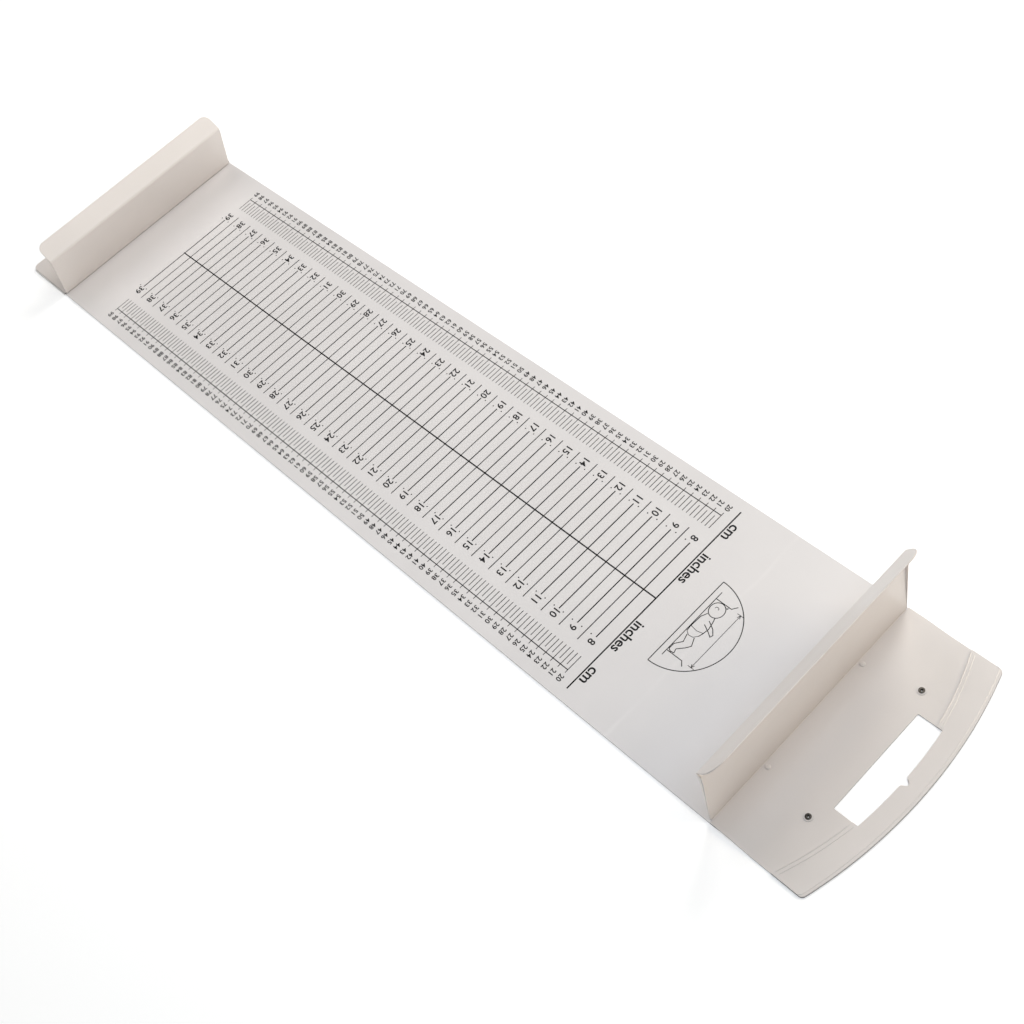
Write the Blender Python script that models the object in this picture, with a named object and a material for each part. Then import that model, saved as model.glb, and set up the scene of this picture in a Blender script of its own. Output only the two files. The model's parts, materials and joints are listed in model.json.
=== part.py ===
"""Infant length-measuring mat: a printed plastic sheet with a hinged head stop,
a carry-handle panel and a sliding, hinged foot stop.

Metres, +Z up. +X runs along the mat from the handle to the foot end, +Y is the
mat's left side, and the origin is under the middle of the whole object.
"""

import math

import bmesh
import bpy
from mathutils import Matrix, Vector

# Overall size
TOTAL_LENGTH = 1.274
PANEL_REACH = 0.1241  # from the scale's zero to the tip of the curved handle end
MAT_HALF_WIDTH = 0.1368
SHEET = 0.0012  # thickness of the mat, the panel, the stops and the overlay
GAP = 0.0003  # between pieces that lie on each other

END_X = -TOTAL_LENGTH / 2
ZERO_X = END_X + PANEL_REACH  # zero of the scale, at the head stop's face
HEAD_X = ZERO_X - 0.002  # the head stop's hinge line

# Heights of the stacked layers
GUIDE_LIP = 0.001
MAT_Z = GUIDE_LIP + GAP
UPPER_Z = MAT_Z + SHEET + GAP  # the layer that lies on the mat
HINGE_Z = UPPER_Z + SHEET / 2

# Mat
MAT_TUCK = 0.016  # how far the mat's near end runs under the handle panel
MAT_CORNER = 0.006
MAT_SHORT = 0.001  # the mat ends this far inside the foot plate's far edge

# Handle panel
END_ARC = 0.487
PANEL_CORNER = 0.0035
STEP_START = 0.0172  # the panel steps down off the mat between these distances
STEP_END = 0.0550
STEP_PARTS = 20
CUTOUT_NEAR = 0.0738  # distances from the scale's zero
CUTOUT_FAR = 0.1031
CUTOUT_HALF = 0.0575
CUTOUT_ARC = 0.450
CUTOUT_CORNER = 0.0012
NOTCH_DEPTH = 0.0052
NOTCH_HALF = 0.0055
NOTCH_Y = 0.001
NOTCH_SOFT = 0.0012
STRIP_TIP = 0.0985  # the doubled end strip starts on an arc through this distance
STRIP_ARC = 0.360
STRIP_INSET = 0.0002
BEAD_WIDTH = 0.0034
BEAD_RISE = 0.0005
BEAD_OFFSET = 0.0019
BEAD_END = 0.1320  # half width that the bead reaches
BEAD_START = 0.0600

# Eyelets and joint rivets
EYELET_X = ZERO_X - 0.0625
EYELET_Y = 0.0775
EYELET_BORE = 0.0011
EYELET_BARREL = 0.0021
EYELET_FLANGE = 0.0031
FLANGE = 0.0005
BOSS_RADIUS = 0.0048
BOSS_RISE = 0.0005
BOSS_EDGE = 0.0004
RIVET_X = ZERO_X - 0.0075
RIVET_Y = 0.0650
RIVET_SHANK = 0.0012
RIVET_HEAD = 0.0027
RIVET_FLANGE = 0.0006
RIVET_DOME = 0.0007

# Stops: a wall, with side returns on the head stop, and a lip on its upper edge
HINGE_CLEAR = 0.0009  # from a hinge line to the edge that turns about it
HINGE_EDGE = 0.0014  # from a hinge line to the edge that stays
STOP_HALF = 0.1352
RETURN_DEPTH = 0.005
RETURN_BEND = 0.0024
RETURN_FOOT = 0.003  # above the hinge line, where a return starts as a point
RETURN_FULL = 0.080  # above the hinge line, where it has its whole depth
RETURN_HEAD = 0.004  # below the lip's hinge line
HEAD_WALL = 0.1000
HEAD_LEAN = 0.0  # degrees from upright, towards the lip's side
HEAD_LIP = 0.030
HEAD_CORNER = 0.018
HEAD_LIP_TURN = 39.0  # degrees that the lip is bent away from the wall's plane
FOOT_WALL = 0.0755
FOOT_LEAN = -19.5
FOOT_LIP = 0.026
FOOT_LIP_TURN = 80.0
FOOT_CORNER = 0.010

# Foot slide
FOOT_X = ZERO_X + 1.070
PLATE_CORNER = 0.007
GUIDE_WALL = 0.0012
GUIDE_REACH = 0.011
GUIDE_BEND = 0.0009
GUIDE_END = 0.004  # from the hinge line to the guide's near end
GUIDE_HALF = MAT_HALF_WIDTH + GAP + GUIDE_WALL

TURN_STEPS = 24
CUT_LOW = -0.01  # cutters run past the sheet between these heights
CUT_HIGH = 0.02
CUT_PAST = 0.01  # and past its edges by this much
ROUNDED_END = END_X + 0.05  # the panel's round corners lie on the handle's side of this

WHITE_SHEET = ((0.70, 0.68, 0.665), 0.42, 0.0)
STOP_SHEET = ((0.69, 0.66, 0.63), 0.40, 0.0)
RIVET_WHITE = ((0.74, 0.72, 0.70), 0.35, 0.0)
DARK_METAL = ((0.06, 0.06, 0.06), 0.35, 0.9)


def clear_scene():
    for obj in list(bpy.data.objects):
        bpy.data.objects.remove(obj)


def material(name, look):
    colour, roughness, metallic = look
    made = bpy.data.materials.new(name)
    made.use_nodes = True
    shader = made.node_tree.nodes["Principled BSDF"]
    shader.inputs["Base Color"].default_value = (*colour, 1.0)
    shader.inputs["Roughness"].default_value = roughness
    shader.inputs["Metallic"].default_value = metallic
    return made


def add_object(name, shape, look=None):
    """An object from a bmesh. Without a material it is a hidden cutter."""
    bmesh.ops.recalc_face_normals(shape, faces=shape.faces)
    mesh = bpy.data.meshes.new(name)
    shape.to_mesh(mesh)
    shape.free()
    obj = bpy.data.objects.new(name, mesh)
    bpy.context.scene.collection.objects.link(obj)
    if look is None:
        obj.hide_render = True
        obj.display_type = "WIRE"
    else:
        mesh.materials.append(look)
    return obj


def combine(target, tool, operation):
    modifier = target.modifiers.new(tool.name, "BOOLEAN")
    modifier.operation = operation
    modifier.solver = "EXACT"
    modifier.object = tool


def arc(centre_x, centre_y, radius, start, end, steps):
    """Points on an arc, from start to end in degrees."""
    points = []
    for step in range(steps + 1):
        angle = math.radians(start + (end - start) * step / steps)
        points.append((centre_x + radius * math.cos(angle), centre_y + radius * math.sin(angle)))
    return points


def prism(outline, low, high):
    """The outline, in the XY plane, extruded from low to high."""
    shape = bmesh.new()
    base = shape.faces.new([shape.verts.new((x, y, low)) for x, y in outline])
    walls = bmesh.ops.extrude_face_region(shape, geom=[base])
    lifted = [item for item in walls["geom"] if isinstance(item, bmesh.types.BMVert)]
    bmesh.ops.translate(shape, verts=lifted, vec=(0, 0, high - low))
    return shape


def across(outline, half):
    """The outline, in the XZ plane, extruded from -half to half along Y."""
    shape = prism(outline, -half, half)
    bmesh.ops.rotate(shape, verts=shape.verts, matrix=Matrix.Rotation(math.pi / 2, 3, "X"))
    return shape


def round_upright_edges(shape, radius, wanted, steps=6):
    """Rounds the edges parallel to Z whose middle point passes the test."""
    edges = []
    for edge in shape.edges:
        first, second = (vert.co for vert in edge.verts)
        upright = math.hypot(first.x - second.x, first.y - second.y) < 1e-6
        if upright and wanted((first + second) / 2):
            edges.append(edge)
    bmesh.ops.bevel(
        shape, geom=edges, offset=radius, segments=steps, affect="EDGES", profile=0.5
    )


def bow(reach, radius, half, steps):
    """Points across the mat on an arc bulging towards the handle, from -half to half."""
    points = []
    for step in range(steps + 1):
        y = -half + 2 * half * step / steps
        sagitta = radius - math.sqrt(radius * radius - y * y)
        points.append((ZERO_X - reach + sagitta, y))
    return points


def turned(profile, capped=False):
    """A profile of radii and heights turned about Z: a bored ring, or a solid with flat ends."""
    shape = bmesh.new()
    rings = []
    for step in range(TURN_STEPS):
        angle = 2 * math.pi * step / TURN_STEPS
        rings.append(
            [shape.verts.new((r * math.cos(angle), r * math.sin(angle), z)) for r, z in profile]
        )
    for ring, following in zip(rings, rings[1:] + rings[:1]):
        for index in range(len(profile) - 1 if capped else len(profile)):
            after = (index + 1) % len(profile)
            shape.faces.new((ring[index], following[index], following[after], ring[after]))
    if capped:
        shape.faces.new([ring[0] for ring in rings])
        shape.faces.new([ring[-1] for ring in rings])
    return shape


def smooth_step(share):
    share = min(1.0, max(0.0, share))
    return share * share * (3 - 2 * share)


def side_sign(side):
    return 1 if side == "left" else -1


def make_mat(look):
    near = ZERO_X - MAT_TUCK
    far = -END_X - MAT_SHORT
    half = MAT_HALF_WIDTH
    shape = prism([(near, -half), (far, -half), (far, half), (near, half)], MAT_Z, MAT_Z + SHEET)
    round_upright_edges(shape, MAT_CORNER, lambda middle: True)
    mat = add_object("mat_sheet", shape, look)
    for side in ("left", "right"):
        hole = cutter_round("mat_hole_" + side, RIVET_SHANK + GAP, CUT_LOW, CUT_HIGH)
        hole.location = (RIVET_X, side_sign(side) * RIVET_Y, 0)
        combine(mat, hole, "DIFFERENCE")
    return mat


def cutter_round(name, radius, low, high):
    return add_object(name, prism(arc(0, 0, radius, 0, 345, 23), low, high))


def panel_outline(inset=0.0):
    half = MAT_HALF_WIDTH - inset
    edge = HEAD_X - HINGE_EDGE
    return [(edge, half)] + bow(PANEL_REACH - inset, END_ARC, half, 40)[::-1] + [(edge, -half)]


def panel_profile():
    """The panel seen from its side: flat on the mat's end, then down to the table."""
    lower = [(ZERO_X, UPPER_Z)]
    for step in range(STEP_PARTS + 1):
        share = step / STEP_PARTS
        x = ZERO_X - STEP_START - (STEP_END - STEP_START) * share
        lower.append((x, UPPER_Z * (1 - smooth_step(share))))
    lower.append((END_X - CUT_PAST, 0.0))
    upper = [(x, z + SHEET) for x, z in reversed(lower)]
    return lower + upper


def cutout_outline():
    """The carry cut-out: straight near side, bowed far side with a hook notch."""
    near_x = ZERO_X - CUTOUT_NEAR
    bowed = bow(CUTOUT_FAR, CUTOUT_ARC, CUTOUT_HALF, 30)
    left_shoulder = NOTCH_Y + NOTCH_HALF
    right_shoulder = NOTCH_Y - NOTCH_HALF
    kept = [point for point in bowed if not right_shoulder <= point[1] <= left_shoulder]
    before = [point for point in kept if point[1] < NOTCH_Y]
    after = [point for point in kept if point[1] > NOTCH_Y]
    edge_x = ZERO_X - CUTOUT_FAR
    notch = [
        (edge_x, right_shoulder),
        (edge_x - 0.2 * NOTCH_DEPTH, right_shoulder + NOTCH_SOFT),
        (edge_x - NOTCH_DEPTH, NOTCH_Y - NOTCH_SOFT / 2),
        (edge_x - NOTCH_DEPTH, NOTCH_Y + NOTCH_SOFT / 2),
        (edge_x - 0.2 * NOTCH_DEPTH, left_shoulder - NOTCH_SOFT),
        (edge_x, left_shoulder),
    ]
    return [(near_x, -CUTOUT_HALF)] + before + notch + after + [(near_x, CUTOUT_HALF)]


def cutout_cutter(name):
    shape = prism(cutout_outline(), CUT_LOW, CUT_HIGH)
    round_upright_edges(
        shape, CUTOUT_CORNER, lambda middle: abs(middle.y) > CUTOUT_HALF - 1e-5, steps=3
    )
    return add_object(name, shape)


def make_handle_panel(look):
    panel = add_object("handle_panel", across(panel_profile(), MAT_HALF_WIDTH + CUT_PAST), look)
    outline = prism(panel_outline(), CUT_LOW, CUT_HIGH)
    round_upright_edges(
        outline,
        PANEL_CORNER,
        lambda middle: middle.x < ROUNDED_END and abs(middle.y) > MAT_HALF_WIDTH - 1e-5,
    )
    combine(panel, add_object("panel_trim", outline), "INTERSECT")
    combine(panel, cutout_cutter("panel_cutout"), "DIFFERENCE")
    for side in ("left", "right"):
        sign = side_sign(side)
        boss = prism(arc(0, 0, BOSS_RADIUS, 0, 345, 23), SHEET / 2, SHEET + BOSS_RISE)
        top = [edge for edge in boss.edges if all(v.co.z > SHEET for v in edge.verts)]
        bmesh.ops.bevel(boss, geom=top, offset=BOSS_EDGE, segments=2, affect="EDGES")
        boss = add_object("boss_" + side, boss)
        recess = cutter_round("recess_" + side, EYELET_FLANGE + GAP, CUT_LOW, FLANGE + GAP)
        hole = cutter_round("eyelet_hole_" + side, EYELET_BARREL + GAP, CUT_LOW, CUT_HIGH)
        for tool, operation in ((boss, "UNION"), (recess, "DIFFERENCE"), (hole, "DIFFERENCE")):
            tool.location = (EYELET_X, sign * EYELET_Y, 0)
            combine(panel, tool, operation)
        rivet_hole = cutter_round("panel_hole_" + side, RIVET_SHANK + GAP, CUT_LOW, CUT_HIGH)
        rivet_hole.location = (RIVET_X, sign * RIVET_Y, 0)
        combine(panel, rivet_hole, "DIFFERENCE")
    return panel


def bead(name, sign):
    """A low round rib that follows the strip's inner edge on one side."""
    section = [
        (BEAD_WIDTH / 2 * math.cos(math.radians(a)), BEAD_RISE * math.sin(math.radians(a)))
        for a in range(0, 181, 20)
    ]
    section += [(-BEAD_WIDTH / 2, -SHEET / 2), (BEAD_WIDTH / 2, -SHEET / 2)]
    shape = bmesh.new()
    rings = []
    steps = 16
    for step in range(steps + 1):
        y = sign * (BEAD_START + (BEAD_END - BEAD_START) * step / steps)
        sagitta = STRIP_ARC - math.sqrt(STRIP_ARC**2 - y * y)
        slope = math.asin(y / STRIP_ARC)
        centre = Vector((ZERO_X - STRIP_TIP - BEAD_OFFSET + sagitta, y, 2 * SHEET + GAP))
        outward = Vector((math.cos(slope), -math.sin(slope), 0))
        rings.append([shape.verts.new(centre + outward * a + Vector((0, 0, b))) for a, b in section])
    count = len(section)
    for first, second in zip(rings, rings[1:]):
        for index in range(count):
            after = (index + 1) % count
            shape.faces.new((first[index], second[index], second[after], first[after]))
    shape.faces.new(rings[0])
    shape.faces.new(rings[-1])
    return add_object(name, shape)


def make_grip_strip(look):
    """The second layer that doubles the panel round its curved end."""
    low = SHEET + GAP
    shape = prism(panel_outline(STRIP_INSET), low, low + SHEET)
    half = MAT_HALF_WIDTH - STRIP_INSET
    round_upright_edges(
        shape,
        PANEL_CORNER,
        lambda middle: middle.x < ROUNDED_END and abs(middle.y) > half - 1e-5,
    )
    strip = add_object("grip_strip", shape, look)
    inner = bow(STRIP_TIP, STRIP_ARC, MAT_HALF_WIDTH + CUT_PAST, 36)
    inner = [(ZERO_X + CUT_PAST, inner[0][1])] + inner + [(ZERO_X + CUT_PAST, inner[-1][1])]
    combine(strip, add_object("strip_inside", prism(inner, CUT_LOW, CUT_HIGH)), "DIFFERENCE")
    combine(strip, cutout_cutter("strip_cutout"), "DIFFERENCE")
    for side in ("left", "right"):
        combine(strip, bead("bead_" + side, side_sign(side)), "UNION")
    return strip


def make_eyelet(side, look):
    top = SHEET + BOSS_RISE + GAP
    profile = [
        (EYELET_BORE, 0.0001),
        (EYELET_FLANGE, 0.0001),
        (EYELET_FLANGE, FLANGE),
        (EYELET_BARREL, FLANGE),
        (EYELET_BARREL, top),
        (EYELET_FLANGE, top),
        (EYELET_FLANGE, top + FLANGE / 2),
        (EYELET_FLANGE - FLANGE / 2, top + FLANGE),
        (EYELET_BORE + FLANGE / 2, top + FLANGE),
        (EYELET_BORE, top + FLANGE / 2),
    ]
    eyelet = add_object("eyelet_" + side, turned(profile), look)
    eyelet.location = (EYELET_X, side_sign(side) * EYELET_Y, 0)
    return eyelet


def make_rivet(side, look):
    """A plastic rivet through the panel and the mat's end, with a low domed head."""
    low = MAT_Z - GAP
    top = UPPER_Z + SHEET + GAP
    profile = [
        (RIVET_HEAD, low - RIVET_FLANGE),
        (RIVET_HEAD, low),
        (RIVET_SHANK, low),
        (RIVET_SHANK, top),
        (RIVET_HEAD, top),
        (RIVET_HEAD * 0.9, top + RIVET_DOME * 0.6),
        (RIVET_HEAD * 0.6, top + RIVET_DOME),
    ]
    rivet = add_object("joint_rivet_" + side, turned(profile, capped=True), look)
    rivet.location = (RIVET_X, side_sign(side) * RIVET_Y, 0)
    return rivet


def pivot(name, place, parent=None):
    """An empty on a hinge line, whose Y axis is the line and whose Z points up the panel."""
    empty = bpy.data.objects.new(name, None)
    bpy.context.scene.collection.objects.link(empty)
    empty.parent = parent
    empty.matrix_basis = place
    return empty


def channel_outline():
    """A flat web along Y with a bent return at each end, seen along the panel.

    The web is centred on x = 0, and the returns point to +X.
    """
    inner = RETURN_BEND
    outer = RETURN_BEND + SHEET
    corner_x = SHEET / 2 + inner
    corner_y = STOP_HALF - outer
    tip = SHEET / 2 + RETURN_DEPTH
    outside = arc(corner_x, -corner_y, outer, 270, 180, 5) + arc(corner_x, corner_y, outer, 180, 90, 5)
    inside = arc(corner_x, corner_y, inner, 90, 180, 5) + arc(corner_x, -corner_y, inner, 180, 270, 5)
    left_tip = [(tip, STOP_HALF), (tip, STOP_HALF - SHEET)]
    right_tip = [(tip, -STOP_HALF + SHEET), (tip, -STOP_HALF)]
    return outside + left_tip + inside + right_tip


def flat_outline():
    """The same web with no returns."""
    corners = ((-1, -1), (1, -1), (1, 1), (-1, 1))
    return [(x * SHEET / 2, y * STOP_HALF) for x, y in corners]


def make_wall(name, height, returned, parent, look):
    """A stop's upright panel, from just above its hinge to just below the lip's."""
    outline = channel_outline() if returned else flat_outline()
    wall = add_object(name, prism(outline, HINGE_CLEAR, height - HINGE_EDGE), look)
    wall.parent = parent
    if not returned:
        return wall
    near = SHEET / 2 + GAP
    beyond = near + RETURN_DEPTH
    bottom = -SHEET
    top = height + SHEET
    foot = [(near, bottom), (beyond, bottom), (beyond, RETURN_FULL), (near, RETURN_FOOT)]
    head = [
        (near, top),
        (beyond, top),
        (beyond, height - RETURN_HEAD - RETURN_DEPTH),
        (near, height - RETURN_HEAD),
    ]
    for part, outline in (("foot", foot), ("head", head)):
        cutter = add_object(name + "_" + part + "_trim", across(outline, STOP_HALF + CUT_PAST))
        cutter.parent = parent
        combine(wall, cutter, "DIFFERENCE")
    return wall


def make_lip(name, width, corner, parent, look):
    """A stop's lip: a flat flange with two round free corners."""
    half = STOP_HALF
    outline = [(-half, HINGE_CLEAR), (half, HINGE_CLEAR)]
    outline += arc(half - corner, width - corner, corner, 0, 90, 10)
    outline += arc(corner - half, width - corner, corner, 90, 180, 10)
    shape = prism(outline, -SHEET / 2, SHEET / 2)
    upright = Matrix(((0, 0, 1), (1, 0, 0), (0, 1, 0)))
    bmesh.ops.transform(shape, matrix=upright.to_4x4(), verts=shape.verts)
    lip = add_object(name, shape, look)
    lip.parent = parent
    return lip


def make_stop(name, hinge_x, facing, lean, height, lip, turn, corner, returned, look):
    """A wall and its lip on their hinge lines. facing is 0 or 180 degrees about Z."""
    place = Matrix.Translation((hinge_x, 0, HINGE_Z))
    place = place @ Matrix.Rotation(math.radians(facing), 4, "Z")
    place = place @ Matrix.Rotation(math.radians(lean), 4, "Y")
    wall_pivot = pivot(name + "_wall_pivot", place)
    make_wall(name + "_wall", height, returned, wall_pivot, look)
    place = Matrix.Translation((0, 0, height)) @ Matrix.Rotation(math.radians(turn), 4, "Y")
    lip_pivot = pivot(name + "_lip_pivot", place, wall_pivot)
    make_lip(name + "_lip", lip, corner, lip_pivot, look)


def make_foot_plate(look):
    """The slide's base: a plate on the mat, from the hinge line to the mat's far end."""
    near = FOOT_X + HINGE_EDGE
    far = -END_X
    half = MAT_HALF_WIDTH
    outline = [(near, -half), (far, -half), (far, half), (near, half)]
    shape = prism(outline, UPPER_Z, UPPER_Z + SHEET)
    round_upright_edges(shape, PLATE_CORNER, lambda middle: middle.x > near + 0.01)
    return add_object("foot_plate", shape, look)


def make_edge_guide(side, look):
    """An edge strip beside the plate, with a lip that holds the mat's edge from below."""
    sign = side_sign(side)
    outer = GUIDE_HALF
    inner = outer - GUIDE_WALL
    top = UPPER_Z + SHEET
    bend_y = outer - GUIDE_BEND
    section = arc(bend_y, GUIDE_BEND, GUIDE_BEND, 270, 360, 4)
    section += arc(bend_y, top - GUIDE_BEND, GUIDE_BEND, 0, 90, 4)
    section += [(inner, top), (inner, GUIDE_LIP), (outer - GUIDE_REACH, GUIDE_LIP)]
    section += [(outer - GUIDE_REACH, 0)]
    shape = prism(section, FOOT_X + GUIDE_END, -END_X - PLATE_CORNER)
    # The section's first axis becomes Y and its second Z, and it runs along X.
    turn = Matrix(((0, 0, 1), (sign, 0, 0), (0, 1, 0)))
    bmesh.ops.transform(shape, matrix=turn.to_4x4(), verts=shape.verts)
    return add_object("foot_guide_" + side, shape, look)


def shade_smooth_all():
    for obj in bpy.data.objects:
        if obj.type == "MESH":
            obj.data.shade_smooth()
            obj.data.set_sharp_from_angle(angle=math.radians(35))


def main():
    clear_scene()
    sheet = material("white_sheet", WHITE_SHEET)
    stop = material("stop_sheet", STOP_SHEET)
    plastic = material("rivet_white", RIVET_WHITE)
    metal = material("dark_metal", DARK_METAL)
    make_mat(sheet)
    make_handle_panel(sheet)
    make_grip_strip(sheet)
    for side in ("left", "right"):
        make_eyelet(side, metal)
        make_rivet(side, plastic)
        make_edge_guide(side, plastic)
    make_foot_plate(stop)
    head = (180, HEAD_LEAN, HEAD_WALL, HEAD_LIP, HEAD_LIP_TURN, HEAD_CORNER, True)
    foot = (0, FOOT_LEAN, FOOT_WALL, FOOT_LIP, FOOT_LIP_TURN, FOOT_CORNER, False)
    make_stop("head", HEAD_X, *head, stop)
    make_stop("foot", FOOT_X, *foot, stop)
    shade_smooth_all()


main()
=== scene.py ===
import json
import math

import bmesh
import bpy
from mathutils import Matrix, Vector


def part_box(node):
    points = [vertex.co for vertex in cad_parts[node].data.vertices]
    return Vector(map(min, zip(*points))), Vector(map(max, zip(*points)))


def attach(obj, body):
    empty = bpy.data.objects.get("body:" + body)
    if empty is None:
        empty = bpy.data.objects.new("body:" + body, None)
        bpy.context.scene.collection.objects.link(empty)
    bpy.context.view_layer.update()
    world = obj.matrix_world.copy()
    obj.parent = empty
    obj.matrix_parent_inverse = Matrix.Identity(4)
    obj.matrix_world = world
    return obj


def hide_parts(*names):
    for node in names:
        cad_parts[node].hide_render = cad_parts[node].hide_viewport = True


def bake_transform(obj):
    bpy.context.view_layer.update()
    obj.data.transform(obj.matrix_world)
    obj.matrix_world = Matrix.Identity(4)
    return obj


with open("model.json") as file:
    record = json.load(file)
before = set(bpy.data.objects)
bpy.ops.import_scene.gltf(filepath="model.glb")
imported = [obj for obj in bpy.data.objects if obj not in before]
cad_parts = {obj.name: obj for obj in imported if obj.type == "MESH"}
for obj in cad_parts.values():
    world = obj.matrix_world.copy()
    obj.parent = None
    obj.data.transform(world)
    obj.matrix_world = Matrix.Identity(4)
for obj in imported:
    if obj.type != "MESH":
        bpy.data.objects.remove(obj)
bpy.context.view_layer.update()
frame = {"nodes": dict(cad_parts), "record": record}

# Lengths are in metres, in the row frame. Places come from the CAD.
SHEET = 0.0012
HALF_SHEET = SHEET / 2
JOINTS = {joint["name"]: joint for joint in frame["record"]["behaviour"]["joints"]}
HEAD_HINGE = Vector(JOINTS["head_wall_fold"]["pos_m"])
HEAD_CREASE = Vector(JOINTS["head_lip_bend"]["pos_m"])
FOOT_HINGE = Vector(JOINTS["foot_wall_fold"]["pos_m"])
FOOT_CREASE = Vector(JOINTS["foot_lip_bend"]["pos_m"])
ZERO_X = HEAD_HINGE.x + 0.002  # zero of the printed scale
MAT_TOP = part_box("mat_sheet")[1].z
INK_Z = MAT_TOP + 0.00005
CM = 0.01
INCH = 0.0254

# ---------------------------------------------------------------- materials

# Heights of bumps in the sheets, and the size of the streak across the mat: a raised crease with a
# painted highlight along it
SHEET_WAVE = 0.0005
MAT_WAVE = 0.0006
NO_WAVE = 0.0
GRAIN_HEIGHT = 0.00003
STREAK_HEIGHT = 0.00015
STREAK_X = ZERO_X + 0.1245
STREAK_REACH = 0.0032
STREAK_WANDER = 0.0012


def new_material(name):
    """A new material, with its nodes, links, shader and object coordinates."""
    made = bpy.data.materials.new(name)
    made.use_nodes = True
    nodes, links = made.node_tree.nodes, made.node_tree.links
    shader = nodes["Principled BSDF"]
    place = nodes.new("ShaderNodeTexCoord").outputs["Object"]
    return made, nodes, links, shader, place


def noise(nodes, links, place, scale, detail):
    """A noise texture's factor, in the object's own metres."""
    texture = nodes.new("ShaderNodeTexNoise")
    texture.inputs["Scale"].default_value = scale
    texture.inputs["Detail"].default_value = detail
    links.new(place, texture.inputs["Vector"])
    return texture.outputs["Fac"]


def ramp(nodes, links, factor, low, high, low_value, high_value):
    """Maps a factor from low..high to low_value..high_value, clamped."""
    made = nodes.new("ShaderNodeMapRange")
    made.inputs["From Min"].default_value = low
    made.inputs["From Max"].default_value = high
    made.inputs["To Min"].default_value = low_value
    made.inputs["To Max"].default_value = high_value
    links.new(factor, made.inputs["Value"])
    return made.outputs["Result"]


def mixed(nodes, links, factor, first, second):
    """A colour between two, each of them a colour or another node's output."""
    made = nodes.new("ShaderNodeMix")
    made.data_type = "RGBA"
    links.new(factor, made.inputs["Factor"])
    for socket, value in (("A", first), ("B", second)):
        target = [s for s in made.inputs if s.name == socket and s.type == "RGBA"][0]
        if isinstance(value, tuple):
            target.default_value = (*value, 1.0)
        else:
            links.new(value, target)
    return [s for s in made.outputs if s.type == "RGBA"][0]


def bumped(nodes, links, shader, layers):
    """Chains bump layers of (height, strength, distance) into the shader's normal."""
    normal = None
    for height, strength, distance in layers:
        bump = nodes.new("ShaderNodeBump")
        bump.inputs["Strength"].default_value = strength
        bump.inputs["Distance"].default_value = distance
        links.new(height, bump.inputs["Height"])
        if normal is not None:
            links.new(normal, bump.inputs["Normal"])
        normal = bump.outputs["Normal"]
    links.new(normal, shader.inputs["Normal"])


def calculated(nodes, links, operation, first, second=None):
    """One Math node's result. Each input is a number or another node's output."""
    made = nodes.new("ShaderNodeMath")
    made.operation = operation
    for k, value in enumerate((first, second)):
        if isinstance(value, float):
            made.inputs[k].default_value = value
        elif value is not None:
            links.new(value, made.inputs[k])
    return made.outputs[0]


def shaded(colour, share):
    return tuple(c * share for c in colour)


def worn_streak(nodes, links, place, streak_x):
    """A faint, uneven, slightly wandering crease across the sheet at one X, raised, with a painted
    highlight along it.
    """
    split = nodes.new("ShaderNodeSeparateXYZ")
    links.new(place, split.inputs[0])
    wander = ramp(
        nodes, links, noise(nodes, links, place, 30, 2), 0.3, 0.7, -STREAK_WANDER, STREAK_WANDER
    )
    shifted = calculated(nodes, links, "ADD", split.outputs["X"], wander)
    offset = calculated(nodes, links, "SUBTRACT", shifted, streak_x)
    distance = calculated(nodes, links, "ABSOLUTE", offset)
    band = ramp(nodes, links, distance, 0.0, STREAK_REACH, 1, 0)
    patch = ramp(nodes, links, noise(nodes, links, place, 14, 2), 0.42, 0.62, 0.25, 1)
    return calculated(nodes, links, "MULTIPLY", band, patch)


def plastic(name, colour, roughness, wave, streak_x=None):
    """Satin plastic sheet: faint mottling, a fine grain and slow waves in its surface.

    wave is the height of the waves, and streak_x the X of a raised crease with a painted highlight
    along it, if it has one.
    """
    made, nodes, links, shader, place = new_material(name)
    mottle = ramp(nodes, links, noise(nodes, links, place, 9, 3), 0.35, 0.68, 0, 1)
    tone = mixed(nodes, links, mottle, shaded(colour, 0.955), colour)
    speckle = ramp(nodes, links, noise(nodes, links, place, 700, 2), 0.3, 0.7, 0, 0.35)
    tone = mixed(nodes, links, speckle, tone, shaded(colour, 0.97))
    layers = [
        (noise(nodes, links, place, 11, 1.5), 1.0, wave),
        (noise(nodes, links, place, 1100, 2), 0.6, GRAIN_HEIGHT),
    ]
    if streak_x is not None:
        # the crease's bump is real; its 3% lighter colour is a painted highlight
        crease_and_sheen = worn_streak(nodes, links, place, streak_x)
        tone = mixed(nodes, links, crease_and_sheen, tone, shaded(colour, 1.03))
        layers.append((crease_and_sheen, 0.6, STREAK_HEIGHT))
    links.new(tone, shader.inputs["Base Color"])
    uneven = noise(nodes, links, place, 60, 4)
    gloss = ramp(nodes, links, uneven, 0.3, 0.7, roughness - 0.05, roughness + 0.06)
    links.new(gloss, shader.inputs["Roughness"])
    bumped(nodes, links, shader, layers)
    return made


def ink():
    made, nodes, links, shader, place = new_material("print_black")
    density = ramp(nodes, links, noise(nodes, links, place, 900, 2), 0.35, 0.65, 0, 1)
    links.new(
        mixed(nodes, links, density, (0.008, 0.008, 0.009), (0.018, 0.018, 0.019)),
        shader.inputs["Base Color"],
    )
    gloss = ramp(nodes, links, noise(nodes, links, place, 500, 2), 0.3, 0.7, 0.5, 0.65)
    links.new(gloss, shader.inputs["Roughness"])
    shader.inputs["Specular IOR Level"].default_value = 0.2
    return made


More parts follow.
